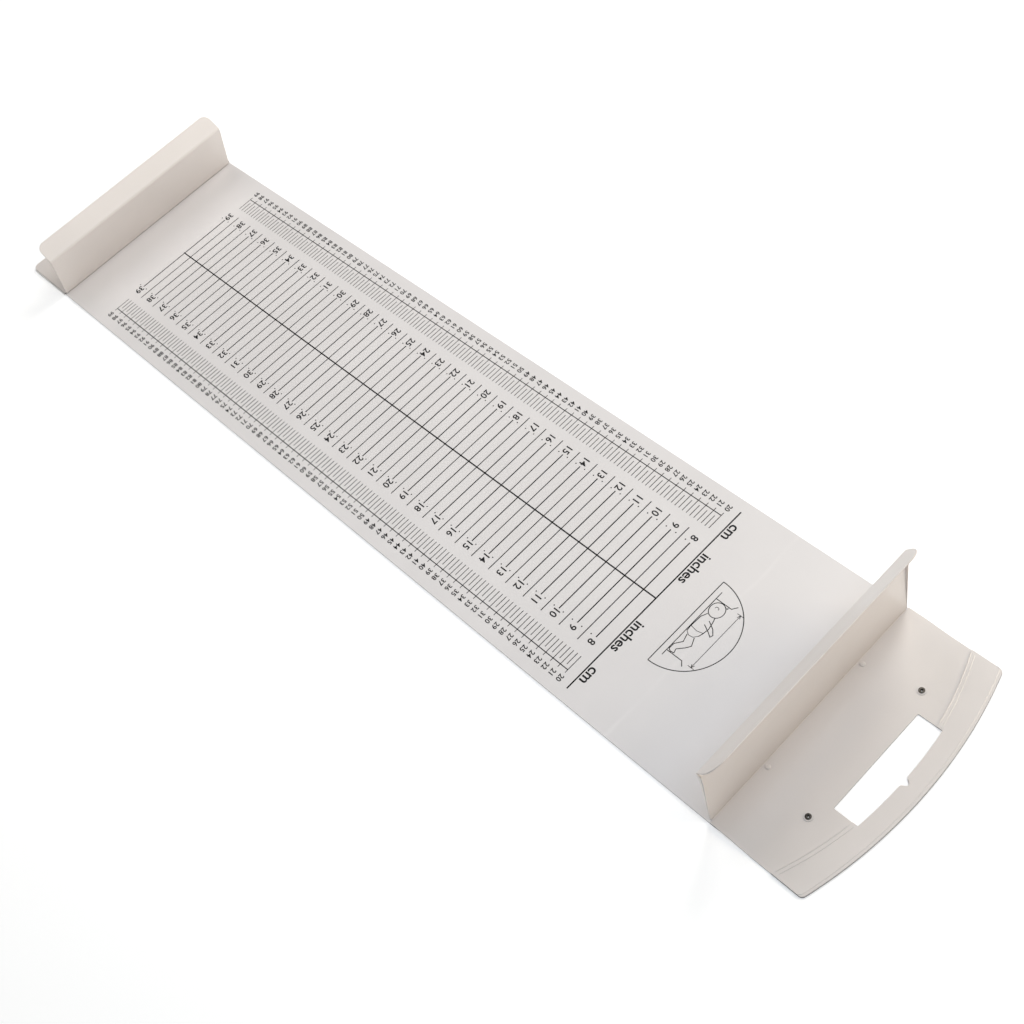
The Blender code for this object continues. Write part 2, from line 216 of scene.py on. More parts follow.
def oxidised_metal():
    made, nodes, links, shader, place = new_material("eyelet_metal")
    patch = ramp(nodes, links, noise(nodes, links, place, 900, 4), 0.35, 0.7, 0, 1)
    links.new(
        mixed(nodes, links, patch, (0.045, 0.040, 0.036), (0.15, 0.14, 0.125)),
        shader.inputs["Base Color"],
    )
    links.new(ramp(nodes, links, patch, 0, 1, 0.30, 0.48), shader.inputs["Roughness"])
    shader.inputs["Metallic"].default_value = 0.85
    bumped(nodes, links, shader, [(noise(nodes, links, place, 2500, 3), 0.5, 0.00004)])
    return made


MAT_WHITE = plastic("mat_white", (0.805, 0.776, 0.772), 0.42, MAT_WAVE, STREAK_X)
PANEL_WHITE = plastic("panel_white", (0.787, 0.740, 0.715), 0.40, SHEET_WAVE)
STOP_WHITE = plastic("stop_white", (0.823, 0.766, 0.729), 0.38, SHEET_WAVE)
FITTING_WHITE = plastic("fitting_white", (0.80, 0.775, 0.75), 0.34, NO_WAVE)
# Painted shade: a near-black for the sheets' edges and sides, standing in for the shade and
# contact shadow along them
PAINTED_EDGE_SHADE = plastic("painted_edge_shade", (0.17, 0.168, 0.17), 0.55, NO_WAVE)
WELD = plastic("weld_gloss", (0.81, 0.77, 0.745), 0.20, NO_WAVE)
PRINT = ink()
METAL = oxidised_metal()

# ---------------------------------------------------------------- mesh helpers

# Material indices after a piece's own material, which is 0. The first is painted shade on the
# sheets' edges and sides, the second the weld ridges' gloss.
EDGE_SHADE_INDEX = 1
WELD_INDEX = 2
MERGE_DISTANCE = 1e-6
SHEET_BEVEL = 0.0003
GUIDE_BEVEL = 0.0001


def finish_mesh(
    name, shape, material, body=None, replaces=(), smooth=35, weighted=False
):
    """Turns a bmesh into a shown piece that rides on a body.

    smooth is the angle in degrees above which an edge stays sharp, and weighted keeps the
    shading of flat faces flat beside narrow bevels.
    """
    mesh = bpy.data.meshes.new(name)
    shape.to_mesh(mesh)
    extra = max(face.material_index for face in shape.faces)
    shape.free()
    piece = bpy.data.objects.new(name, mesh)
    bpy.context.scene.collection.objects.link(piece)
    for used in (material, PAINTED_EDGE_SHADE, WELD)[: extra + 1]:
        mesh.materials.append(used)
    mesh.shade_smooth()
    mesh.set_sharp_from_angle(angle=math.radians(smooth))
    if weighted:
        normals = piece.modifiers.new("flat faces stay flat", "WEIGHTED_NORMAL")
        normals.mode = "FACE_AREA"
        normals.weight = 100
        normals.keep_sharp = True
    if replaces:
        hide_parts(*replaces)
    if body:
        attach(piece, body)
    return piece


def refined(node, material, bevel, body, wanted=None, edge_shade=True):
    """The CAD node again, with its sharp sheet edges softened.

    wanted(middle) says which edges are softened, and the last flag paints shade on its sides: the
    dark colour stands in for the shade along a sheet's edges.
    """
    shape = bmesh.new()
    shape.from_mesh(frame["nodes"][node].data)
    bmesh.ops.remove_doubles(shape, verts=shape.verts, dist=MERGE_DISTANCE)
    bmesh.ops.dissolve_limit(
        shape, angle_limit=math.radians(0.5), verts=shape.verts, edges=shape.edges
    )
    sharp = [
        edge
        for edge in shape.edges
        if len(edge.link_faces) == 2
        and edge.calc_face_angle(0) > math.radians(50)
        and (wanted is None or wanted((edge.verts[0].co + edge.verts[1].co) / 2))
    ]
    bmesh.ops.bevel(
        shape,
        geom=sharp,
        offset=bevel,
        segments=2,
        affect="EDGES",
        profile=0.5,
        clamp_overlap=True,
    )
    # Painted shade: the steep sides take the dark edge colour
    if edge_shade:
        for face in shape.faces:
            face.normal_update()
            face.material_index = EDGE_SHADE_INDEX if abs(face.normal.z) < 0.6 else 0
    finish_mesh(node + "_surface", shape, material, body, (node,), weighted=True)


def bezier(points, steps):
    """Points on a cubic curve in the XZ plane."""
    found = []
    for step in range(steps + 1):
        t = step / steps
        weights = ((1 - t) ** 3, 3 * t * (1 - t) ** 2, 3 * t * t * (1 - t), t**3)
        found.append(sum((w * p for w, p in zip(weights, points)), Vector((0, 0))))
    return found


def skin(rows, thickness, dark=None):
    """A closed sheet from a grid of points on its middle surface.

    thickness(row, column) gives half the sheet's thickness there, and dark(row, column) says
    whether the sheet is painted with the dark edge shade there.
    """
    shape = bmesh.new()
    grid = [[Vector(point) for point in row] for row in rows]
    last_row, last_column = len(grid) - 1, len(grid[0]) - 1
    sides = []
    for sign in (1, -1):
        side = []
        for i, row in enumerate(grid):
            line = []
            for j, point in enumerate(row):
                along = grid[min(i + 1, last_row)][j] - grid[max(i - 1, 0)][j]
                over = row[min(j + 1, last_column)] - row[max(j - 1, 0)]
                normal = along.cross(over).normalized()
                line.append(shape.verts.new(point + normal * sign * thickness(i, j)))
            side.append(line)
        sides.append(side)
    front, back = sides
    for i in range(last_row):
        for j in range(last_column):
            for side in sides:
                face = shape.faces.new(
                    (side[i][j], side[i + 1][j], side[i + 1][j + 1], side[i][j + 1])
                )
                if dark and dark(i, j):
                    face.material_index = EDGE_SHADE_INDEX
    rim = []
    for i in range(last_row):
        for j in (0, last_column):
            rim.append((front[i][j], front[i + 1][j], back[i + 1][j], back[i][j]))
    for j in range(last_column):
        for i in (0, last_row):
            rim.append((front[i][j], front[i][j + 1], back[i][j + 1], back[i][j]))
    for corners in rim:
        shape.faces.new(corners)
    bmesh.ops.recalc_face_normals(shape, faces=shape.faces)
    return shape


def smooth_step(value, low, high):
    """Rises smoothly from 0 at low to 1 at high."""
    share = min(1.0, max(0.0, (value - low) / (high - low)))
    return share * share * (3 - 2 * share)


# ---------------------------------------------------------------- stops

# The web at a stop's base: where it starts beside the hinge line and ends above it
HINGE_EDGE = 0.0014
HINGE_CLEAR = 0.0009
WEB_CURVE = 0.0003
WEB_THINNING = 0.35  # share of its thickness lost in its middle
HEAD_WEB_INSET = 0.0022
FOOT_WEB_INSET = 0.0005
CREASE_RADIUS = 0.003
STOP_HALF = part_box("head_lip")[1].y
STOP_COLUMNS = 24
WALL_PARTS = 40
CREASE_PARTS = 10
LIP_PARTS = 8
CORNER_PARTS = 12
HEAD_LIP_CORNER = 0.018
FOOT_LIP_CORNER = 0.010
RETURN_PARTS = 12
RETURN_RADIUS = 0.0012
# Path across each return at the wall's base, and its whole depth near the top
LEFT_RETURN = (0.0003, 0.0050)
RIGHT_RETURN = (0.0014, 0.0032)
RETURN_FULL = 0.080  # height up the wall at which a return has its whole depth
# Below the crease, where the returns begin to flatten and where they are flat
FLATTEN_FROM = 0.0032
FLATTEN_TO = 0.0006
DARK_COLUMNS = 2


def stop_path(hinge, crease, turn, toward, lip_top):
    """Points (x, z) up the wall and round the crease.

    turn is the angle in degrees at the crease, and toward the side (+1 or -1 in X) to
    which the lip bends. Returns the points, the places in them of the crease's first and
    last, the lip's direction, and the length of its flat part.
    """
    up = (crease - hinge).normalized()
    up = Vector((up.x, up.z))
    angle = math.atan2(up.x, up.y)
    lip_angle = angle + toward * math.radians(turn)
    lip = Vector((math.sin(lip_angle), math.cos(lip_angle)))
    start = Vector((hinge.x, hinge.z)) + up * HINGE_CLEAR
    corner = Vector((crease.x, crease.z))
    tangent = CREASE_RADIUS * math.tan(math.radians(turn) / 2)
    lip_length = (lip_top - corner.y - HALF_SHEET * abs(math.sin(lip_angle))) / lip.y
    points = []
    wall_end = corner - up * tangent
    for part in range(WALL_PARTS):
        points.append(start.lerp(wall_end, part / WALL_PARTS))
    crease_first = len(points)
    side = Vector((up.y, -up.x)) * toward
    centre = wall_end + side * CREASE_RADIUS
    for part in range(CREASE_PARTS + 1):
        a = math.radians(turn) * part / CREASE_PARTS
        around = up * CREASE_RADIUS * math.sin(a)
        points.append(centre - side * CREASE_RADIUS * math.cos(a) + around)
    crease_last = len(points) - 1
    return points, crease_first, crease_last, lip, lip_length - tangent


def return_place(path, bend):
    """How far out, and how far to the lip's side, a return is after that path across it.

    bend is 1 for a right angle and 0 where the sheet is flat.
    """
    if bend < 0.001:
        return path, 0.0
    radius = RETURN_RADIUS / bend
    turn = min(path / radius, math.pi / 2 * bend)
    rest = path - turn * radius
    out = radius * math.sin(turn) + rest * math.cos(turn)
    return out, radius * (1 - math.cos(turn)) + rest * math.sin(turn)


def return_points(half, bend, rise, start, depth):
    """One return at one height: the flat half width beside it, and its points outwards."""
    flat = RETURN_RADIUS + HALF_SHEET
    whole = RETURN_RADIUS * (math.pi / 2 - 1) + depth
    path = flat + (start + (whole - start) * rise - flat) * bend
    flat_half = half - HALF_SHEET * bend - return_place(path, bend)[0]
    points = []
    for part in range(1, RETURN_PARTS + 1):
        y, lipward = return_place(path * part / RETURN_PARTS, bend)
        points.append((flat_half + y, lipward))
    return flat_half, points


def stop_sheet(name, hinge, crease, turn, toward, lip_top, corner, returned, nodes):
    """A stop's wall and lip as one sheet that bends at its crease.

    corner is the radius of the lip's corners, and returned says whether its sides turn
    to the lip's side.
    """
    points, first, last, lip, flat = stop_path(hinge, crease, turn, toward, lip_top)
    halves = [STOP_HALF] * len(points)
    lip_start = points[-1].copy()
    straight = flat - corner
    for part in range(1, LIP_PARTS + 1):
        points.append(lip_start + lip * straight * part / LIP_PARTS)
        halves.append(STOP_HALF)
    for part in range(1, CORNER_PARTS + 1):
        a = math.pi / 2 * part / CORNER_PARTS
        points.append(lip_start + lip * (straight + corner * math.sin(a)))
        halves.append(STOP_HALF - corner * (1 - math.cos(a)))
    distances = [0.0]
    for before, after in zip(points, points[1:]):
        distances.append(distances[-1] + (after - before).length)
    crease_at = distances[first]
    rows, bends = [], []
    for i, (point, half) in enumerate(zip(points, halves)):
        ahead = points[min(i + 1, len(points) - 1)] - points[max(i - 1, 0)]
        side = Vector((ahead.y, -ahead.x)).normalized() * toward
        bend = 0.0
        if returned:
            flat_from, flat_to = crease_at - FLATTEN_FROM, crease_at - FLATTEN_TO
            bend = 1 - smooth_step(distances[i], flat_from, flat_to)
        rise = min(1.0, distances[i] / RETURN_FULL)
        right_half, right = return_points(half, bend, rise, *RIGHT_RETURN)
        left_half, left = return_points(half, bend, rise, *LEFT_RETURN)
        across = [(-y, lipward) for y, lipward in reversed(right)]
        wide = left_half + right_half
        for j in range(STOP_COLUMNS + 1):
            across.append((wide * j / STOP_COLUMNS - right_half, 0.0))
        row = []
        for y, lipward in across + left:
            moved = point + side * lipward
            row.append((moved.x, y, moved.y))
        rows.append(row)
        bends.append(bend)
    # painted shade: a dark line down the left return's free edge, where its bend falls into shade
    free = len(rows[0]) - 1 - DARK_COLUMNS
    shape = skin(rows, lambda i, j: HALF_SHEET, lambda i, j: bends[i] > 0.9 and j >= free)
    sharp = [e for e in shape.edges if e.calc_face_angle(0) > math.radians(60)]
    bmesh.ops.bevel(shape, geom=sharp, offset=SHEET_BEVEL, segments=2, affect="EDGES", profile=0.5)
    piece = finish_mesh(name, shape, STOP_WHITE, None, nodes, smooth=40)
    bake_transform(piece)


def base_fold(name, hinge, toward, up, half):
    """The thin web of sheet that turns up from a base into its stop's wall."""
    away = Vector((toward, 0))
    origin = Vector((hinge.x, hinge.z))
    guides = (away * HINGE_EDGE, away * WEB_CURVE, up * WEB_CURVE, up * HINGE_CLEAR)
    curve = bezier(guides, 10)
    columns = 12
    rows = []
    for point in curve:
        place = origin + point
        rows.append([(place.x, half * (j / columns * 2 - 1), place.y) for j in range(columns + 1)])

    def thinned(row, _column):
        return HALF_SHEET * (1 - WEB_THINNING * math.sin(math.pi * row / (len(curve) - 1)))

    shape = skin(rows, thinned)
    piece = finish_mesh(name, shape, STOP_WHITE, None, (), smooth=60)
    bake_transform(piece)


HEAD_TURN = JOINTS["head_lip_bend"]["range_deg"][1]
FOOT_TURN = -JOINTS["foot_lip_bend"]["range_deg"][0]
stop_sheet(
    "head_stop_sheet",
    HEAD_HINGE,
    HEAD_CREASE,
    HEAD_TURN,
    -1,
    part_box("head_lip")[1].z,
    HEAD_LIP_CORNER,
    True,
    ("head_wall", "head_lip"),
)
stop_sheet(
    "foot_stop_sheet",
    FOOT_HINGE,
    FOOT_CREASE,
    FOOT_TURN,
    1,
    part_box("foot_lip")[1].z,
    FOOT_LIP_CORNER,
    False,
    ("foot_wall", "foot_lip"),
)
base_fold(
    "head_base_fold",
    HEAD_HINGE,
    -1,
    Vector((0, 1)),
    STOP_HALF - HEAD_WEB_INSET,
)
foot_up = (FOOT_CREASE - FOOT_HINGE).normalized()
base_fold(
    "foot_base_fold",
    FOOT_HINGE,
    1,
    Vector((foot_up.x, foot_up.z)),
    STOP_HALF - FOOT_WEB_INSET,
)

# ---------------------------------------------------------------- mat, panel, slide

BOSS_CLEAR = 0.008  # edges nearer than this to an eyelet are its boss's, and stay as they are
EYELET_SPOTS = [sum(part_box("eyelet_" + side), Vector()) / 2 for side in ("left", "right")]


def off_bosses(middle):
    return all((middle - spot).to_2d().length > BOSS_CLEAR for spot in EYELET_SPOTS)


refined("mat_sheet", MAT_WHITE, SHEET_BEVEL, "mat", lambda m: m.x > ZERO_X)
refined("handle_panel", PANEL_WHITE, SHEET_BEVEL, "mat", off_bosses)
refined("foot_plate", STOP_WHITE, SHEET_BEVEL, "foot_slide_body")
for side in ("left", "right"):
    refined(
        "foot_guide_" + side,
        FITTING_WHITE,
        GUIDE_BEVEL,
        "foot_slide_body",
        edge_shade=False,
    )

# ---------------------------------------------------------------- doubled end strip

# Reaches are distances from the scale's zero to the tip of an arc, and arcs are radii
EDGE_DROP = 0.0002
STRIP_TIP = 0.0985
STRIP_ARC = 0.360
END_REACH = 0.1241 - EDGE_DROP
END_ARC = 0.487
CUTOUT_FAR = 0.1031
CUTOUT_ARC = 0.450
CUTOUT_HALF = 0.0575
NOTCH_DEPTH = 0.0052
NOTCH_HALF = 0.0055
NOTCH_FLAT = 0.12  # share of its half width over which it is deepest
NOTCH_Y = 0.001
PANEL_CORNER = 0.0035
CORNER_ROUND = 0.92  # how far round its quarter circle the panel's corner goes
STRIP_LOW, STRIP_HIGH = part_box("grip_strip")
STRIP_TOP = STRIP_LOW.z + SHEET
BEAD_RISE = STRIP_HIGH.z - STRIP_TOP
# The seam's ridges rise over BEAD_GROW beside the cut-out, and sink between BEAD_SINK_FROM
# and BEAD_SINK_TO from the strip's side
BEAD_GROW = 0.002
BEAD_SINK_FROM = 0.005
BEAD_SINK_TO = 0.001
# The seam is two thin weld ridges on each side: distance in from the strip's edge, and height
RIDGE_STEEP = 0.0001
RIDGE_WIDTH = 0.0009
SECOND_RIDGE = 0.0036
SEAM = (
    (RIDGE_STEEP, BEAD_RISE),
    (RIDGE_WIDTH, 0.0),
    (SECOND_RIDGE, 0.0),
    (SECOND_RIDGE + RIDGE_STEEP, BEAD_RISE),
    (SECOND_RIDGE + RIDGE_WIDTH, 0.0),
)
# The rim along the curved end: distance in from the outer edge, and height
RIM = (
    (0.0040, 0.0),
    (0.0032, 0.0),
    (0.0031, 0.0004),
    (0.0023, 0.0),
    (0.0012, 0.0),
    (0.0002, 0.0),
    (0.0, -EDGE_DROP),
)
RIM_ROOM = 0.0042
FLAT_PARTS = 7
SIDE_COLUMNS = 30
CORNER_COLUMNS = 10
CUTOUT_COLUMNS = 60  # on each side of the middle
NOTCH_COLUMNS = 12
CUTOUT_SHARE = 0.9998  # its last columns stay just inside its sides
NOTCH_SHARE = 1.05


def reach_of(reach, radius, y):
    """The reach at y of an arc whose tip has that reach."""
    return reach - (radius - math.sqrt(radius * radius - y * y))


def outer_reach(y):
    """The curved end's reach from zero at y, with its round corners."""
    half = STRIP_HIGH.y
    corner_start = half - PANEL_CORNER
    if abs(y) <= corner_start:
        return reach_of(END_REACH, END_ARC, y)
    base = reach_of(END_REACH, END_ARC, y)
    over = (abs(y) - corner_start) / PANEL_CORNER
    return base - PANEL_CORNER * CORNER_ROUND * (1 - math.sqrt(max(0.0, 1 - over * over)))


def inner_reach(y, inside):
    """The strip's inner edge at y: the cut-out's far side where inside, else its own arc."""
    if not inside:
        return reach_of(STRIP_TIP, STRIP_ARC, y)
    reach = reach_of(CUTOUT_FAR, CUTOUT_ARC, y)
    off = abs(y - NOTCH_Y)
    notch = NOTCH_DEPTH * (1 - smooth_step(off, NOTCH_HALF * NOTCH_FLAT, NOTCH_HALF))
    return max(reach, CUTOUT_FAR + notch if notch > 1e-6 else reach)


def strip_columns():
    """The strip's columns across the panel: y, and whether each lies inside the cut-out."""
    spots = []
    corner_start = STRIP_HIGH.y - PANEL_CORNER
    for side in (-1, 1):
        for part in range(SIDE_COLUMNS + 1):
            y = CUTOUT_HALF + (corner_start - CUTOUT_HALF) * part / SIDE_COLUMNS
            spots.append((side * y, False))
        for part in range(1, CORNER_COLUMNS + 1):
            a = math.pi / 2 * part / CORNER_COLUMNS
            spots.append((side * (corner_start + PANEL_CORNER * math.sin(a)), False))
    for part in range(-CUTOUT_COLUMNS, CUTOUT_COLUMNS + 1):
        spots.append((CUTOUT_HALF * part / CUTOUT_COLUMNS * CUTOUT_SHARE, True))
    for part in range(-NOTCH_COLUMNS, NOTCH_COLUMNS + 1):
        spots.append((NOTCH_Y + NOTCH_HALF * NOTCH_SHARE * part / NOTCH_COLUMNS, True))
    return sorted(set((round(y, 7), inside) for y, inside in spots))


def make_strip():
    """The panel's second layer, with its seam on the inner side and its rim on the outer."""
    shape = bmesh.new()
    tops, lows, flanks = [], [], []
    side_y = STRIP_HIGH.y
    for y, inside in strip_columns():
        near, far = inner_reach(y, inside), outer_reach(y)
        bead_share = 0.0
        if not inside:
            bead_share = smooth_step(abs(y), CUTOUT_HALF, CUTOUT_HALF + BEAD_GROW)
        bead_share *= 1 - smooth_step(abs(y), side_y - BEAD_SINK_FROM, side_y - BEAD_SINK_TO)
        rows = [(near, -EDGE_DROP)]
        for d, height in SEAM:
            rows.append((near + d, height * bead_share))
        room = far - RIM_ROOM
        begin = rows[-1][0]
        for k in range(1, FLAT_PARTS):
            rows.append((begin + (room - begin) * k / FLAT_PARTS, 0.0))
        rows += [(far - d, height) for d, height in RIM]
        welded = [k for k in range(len(rows) - 1) if rows[k][1] > rows[k + 1][1] + 1e-5]
        flanks.append(set(welded[:-1]))
        tops.append([shape.verts.new((ZERO_X - r, y, STRIP_TOP + z)) for r, z in rows])
        lows.append([shape.verts.new((ZERO_X - r, y, STRIP_LOW.z)) for r in (near, far)])
    for a, b in zip(range(len(tops)), range(1, len(tops))):
        for k in range(len(tops[a]) - 1):
            top = shape.faces.new((tops[a][k], tops[a][k + 1], tops[b][k + 1], tops[b][k]))
            top.material_index = WELD_INDEX if k in flanks[a] else 0
        shape.faces.new((lows[a][0], lows[b][0], lows[b][1], lows[a][1]))
        shape.faces.new((lows[a][0], tops[a][0], tops[b][0], lows[b][0]))
        # Painted shade: the strip's outer side and its two ends take the dark edge colour
        outer = shape.faces.new((lows[a][1], lows[b][1], tops[b][-1], tops[a][-1]))
        outer.material_index = EDGE_SHADE_INDEX
    for k in (0, len(tops) - 1):
        end = shape.faces.new([lows[k][0], *tops[k], lows[k][1]])
        end.material_index = EDGE_SHADE_INDEX
    bmesh.ops.recalc_face_normals(shape, faces=shape.faces)
    finish_mesh(
        "grip_strip_surface", shape, PANEL_WHITE, "mat", ("grip_strip",), smooth=22
    )


make_strip()

# ---------------------------------------------------------------- eyelets and rivets


LATHE_STEPS = 48
ROUND_STEPS = 4
EYELET_THROAT = 0.0005  # at its lower end, so that the bright floor doesn't show through
EYELET_BORE = 0.0011
EYELET_BARREL = 0.0021
EYELET_FLANGE = 0.0005
EYELET_ROUND = 0.00018
RIVET_SHANK = 0.0012
RIVET_FOOT = 0.0006
RIVET_HEAD = 0.0007
RIVET_STEPS = 9


def lathe(name, centre, profile, material, body, node, closed):
    """A turned piece. A closed profile is a ring's, an open one runs between two flat ends."""
    shape = bmesh.new()
    rings = []
    for step in range(LATHE_STEPS):
        a = 2 * math.pi * step / LATHE_STEPS
        rings.append(
            [
                shape.verts.new((centre.x + r * math.cos(a), centre.y + r * math.sin(a), z))
                for r, z in profile
            ]
        )
    for ring, following in zip(rings, rings[1:] + rings[:1]):
        for k in range(len(profile) if closed else len(profile) - 1):
            n = (k + 1) % len(profile)
            shape.faces.new((ring[k], following[k], following[n], ring[n]))
    if not closed:
        shape.faces.new([ring[0] for ring in rings])
        shape.faces.new([ring[-1] for ring in rings])
    bmesh.ops.recalc_face_normals(shape, faces=shape.faces)
    finish_mesh(name, shape, material, body, (node,))


def round_profile(points, radius):
    """The closed profile with each corner replaced by a small curve."""
    found = []
    count = len(points)
    for k, point in enumerate(points):
        here = Vector(point)
        before, after = Vector(points[k - 1]), Vector(points[(k + 1) % count])
        first = here + (before - here).normalized() * min(radius, (before - here).length * 0.45)
        last = here + (after - here).normalized() * min(radius, (after - here).length * 0.45)
        for step in range(ROUND_STEPS + 1):
            t = step / ROUND_STEPS
            found.append(first.lerp(here, t).lerp(here.lerp(last, t), t))
    return found


for side in ("left", "right"):
    low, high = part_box("eyelet_" + side)
    radius = (high.y - low.y) / 2
    lip = high.z - EYELET_FLANGE
    ring = [
        (EYELET_THROAT, low.z),
        (radius, low.z),
        (radius, low.z + EYELET_FLANGE),
        (EYELET_BARREL, low.z + EYELET_FLANGE),
        (EYELET_BARREL, lip),
        (radius, lip),
        (radius * 0.97, high.z - 0.0002),
        (radius * 0.80, high.z),
        (EYELET_BORE * 1.25, high.z),
        (EYELET_BORE, high.z - 0.0003),
    ]
    lathe(
        "eyelet_ring_" + side,
        (low + high) / 2,
        round_profile(ring, EYELET_ROUND),
        METAL,
        "mat",
        "eyelet_" + side,
        True,
    )
    low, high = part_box("joint_rivet_" + side)
    radius = (high.y - low.y) / 2
    head, foot = high.z - RIVET_HEAD, low.z + RIVET_FOOT
    rivet = [(radius, low.z), (radius, foot), (RIVET_SHANK, foot), (RIVET_SHANK, head)]
    rivet.append((radius, head))
    for step in range(1, RIVET_STEPS):
        a = math.pi / 2 * step / RIVET_STEPS
        rivet.append((radius * math.cos(a), head + (high.z - head) * math.sin(a)))
    rivet.append((radius * 0.05, high.z))
    lathe(
        "rivet_" + side,
        (low + high) / 2,
        rivet,
        PANEL_WHITE,
        "mat",
        "joint_rivet_" + side,
        False,
    )

# ---------------------------------------------------------------- print

# Print places are (u, w) in centimetres: u from the scale's zero towards the foot,
# w towards the mat's left side. Widths and heights are in centimetres too. A BOLD value
# is how far a letter's outline grows, as a share of its size.
SAME_PLACE = 1e-9
SHARPEST_MITRE = 0.4
THIN, FINE, STRONG = 0.078, 0.100, 0.155
INCH_STROKE, HALF_INCH_STROKE = STRONG * 0.85, STRONG * 0.7
CM_FIRST, CM_LAST = 20, 99
INCH_FIRST, INCH_LAST = 8, 39
START_U, START_HALF = 18.7, 12.4
MIDDLE_LINE_END = 99.2
CM_LINE_W = 10.94
CM_TICK = (11.32, 9.09)
HALF_CM_TICK = (10.55, 9.05)
INCH_HALF, HALF_INCH_HALF = 6.7, 8.0
QUARTER_DOT_W, DOT_RADIUS, DOT_SIDES = 6.73, 0.075, 14
CM_NUMBER_W, CM_NUMBER_HEIGHT, CM_NUMBER_BOLD = 12.02, 0.6, 0.020
INCH_NUMBER_W, INCH_NUMBER_HEIGHT, INCH_NUMBER_BOLD = 7.35, 0.86, 0.018
NUMBER_SQUEEZE = 0.95
LABEL_BOLD = 0.018
# Text, u, height and the two places w
LABELS = (
    ("cm", 18.12, 0.80, (-9.97, 10.1)),
    ("inches", 17.95, 1.12, (-4.7, 4.83)),
)


def on_mat(u, w):
    """A print place as a point just above the mat."""
    return Vector((ZERO_X + u * CM, w * CM, INK_Z))


def stroke(shape, points, width, closed=False):
    """A flat ribbon of that width, in centimetres, along points (u, w)."""
    places = [Vector(p) for p in points]
    count = len(places)
    left, right = [], []
    for k, here in enumerate(places):
        before = places[k - 1] if closed or k > 0 else here
        after = places[(k + 1) % count] if closed or k < count - 1 else here
        step_in, step_out = here - before, after - here
        if step_in.length < SAME_PLACE:
            step_in = step_out
        if step_out.length < SAME_PLACE:
            step_out = step_in
        first = Vector((-step_in.y, step_in.x)).normalized()
        second = Vector((-step_out.y, step_out.x)).normalized()
        normal = (first + second).normalized()
        reach = width / 2 / max(SHARPEST_MITRE, normal.dot(first))
        left.append(shape.verts.new(on_mat(*(here + normal * reach))))
        right.append(shape.verts.new(on_mat(*(here - normal * reach))))
    for k in range(count if closed else count - 1):
        n = (k + 1) % count
        shape.faces.new((left[k], left[n], right[n], right[k]))


def dot(shape, u, w, radius):
    ring = []
    for step in range(DOT_SIDES):
        a = 2 * math.pi * step / DOT_SIDES
        ring.append(shape.verts.new(on_mat(u + radius * math.cos(a), w + radius * math.sin(a))))
    shape.faces.new(ring)


def face_up(shape):
    """Turns every face of a flat print upwards."""
    for face in shape.faces:
        face.normal_update()
        if face.normal.z < 0:
            face.normal_flip()


def glyphs(text, bold):
    """The flat mesh of a text, as its points and faces."""
    curve = bpy.data.curves.new("glyphs", "FONT")
    curve.body = text
    curve.size = 1.0
    curve.resolution_u = 3
    curve.offset = bold
    holder = bpy.data.objects.new("glyphs", curve)
    bpy.context.scene.collection.objects.link(holder)
    bpy.context.view_layer.update()
    evaluated = holder.evaluated_get(bpy.context.evaluated_depsgraph_get())
    mesh = bpy.data.meshes.new_from_object(evaluated)
    points = [v.co.to_2d() for v in mesh.vertices]
    faces = [tuple(p.vertices) for p in mesh.polygons]
    bpy.data.objects.remove(holder)
    bpy.data.curves.remove(curve)
    bpy.data.meshes.remove(mesh)
    return points, faces


def write(shape, text, u, w, height, bold, squeeze=1.0):
    """Text centred on (u, w), read towards +w with its letters' tops towards -u."""
    points, faces = glyphs(text, bold)
    xs, ys = [p.x for p in points], [p.y for p in points]
    middle_x = (min(xs) + max(xs)) / 2
    middle_y = (min(ys) + max(ys)) / 2
    scale = height / (max(ys) - min(ys))
    verts = []
    for p in points:
        across = (p.x - middle_x) * scale * squeeze
        up = (p.y - middle_y) * scale
        verts.append(shape.verts.new(on_mat(u - up, w + across)))
    for face in faces:
        shape.faces.new([verts[k] for k in face])


def make_scale():
    shape = bmesh.new()
    stroke(shape, [(START_U, -START_HALF), (START_U, START_HALF)], STRONG)
    stroke(shape, [(START_U, 0.0), (MIDDLE_LINE_END, 0.0)], STRONG)
    for side in (-1, 1):
        line_w = side * CM_LINE_W
        stroke(shape, [(float(CM_FIRST), line_w), (float(CM_LAST), line_w)], FINE)
        for number in range(CM_FIRST, CM_LAST + 1):
            stroke(shape, [(number, side * w) for w in CM_TICK], THIN)
            if number < CM_LAST:
                stroke(shape, [(number + 0.5, side * w) for w in HALF_CM_TICK], THIN)
    for number in range(INCH_FIRST, INCH_LAST + 1):
        u = number * INCH / CM
        stroke(shape, [(u, -INCH_HALF), (u, INCH_HALF)], INCH_STROKE)
        quarter = 0.25 * INCH / CM
        for side in (-1, 1):
            for step in (-1, 1):
                if number == INCH_FIRST and step == -1:
                    continue
                dot(shape, u + step * quarter, side * QUARTER_DOT_W, DOT_RADIUS)
        if number < INCH_LAST:
            half_way = u + 0.5 * INCH / CM
            ends = [(half_way, -HALF_INCH_HALF), (half_way, HALF_INCH_HALF)]
            stroke(shape, ends, HALF_INCH_STROKE)
    face_up(shape)
    finish_mesh("print_scale_lines", shape, PRINT, "mat")


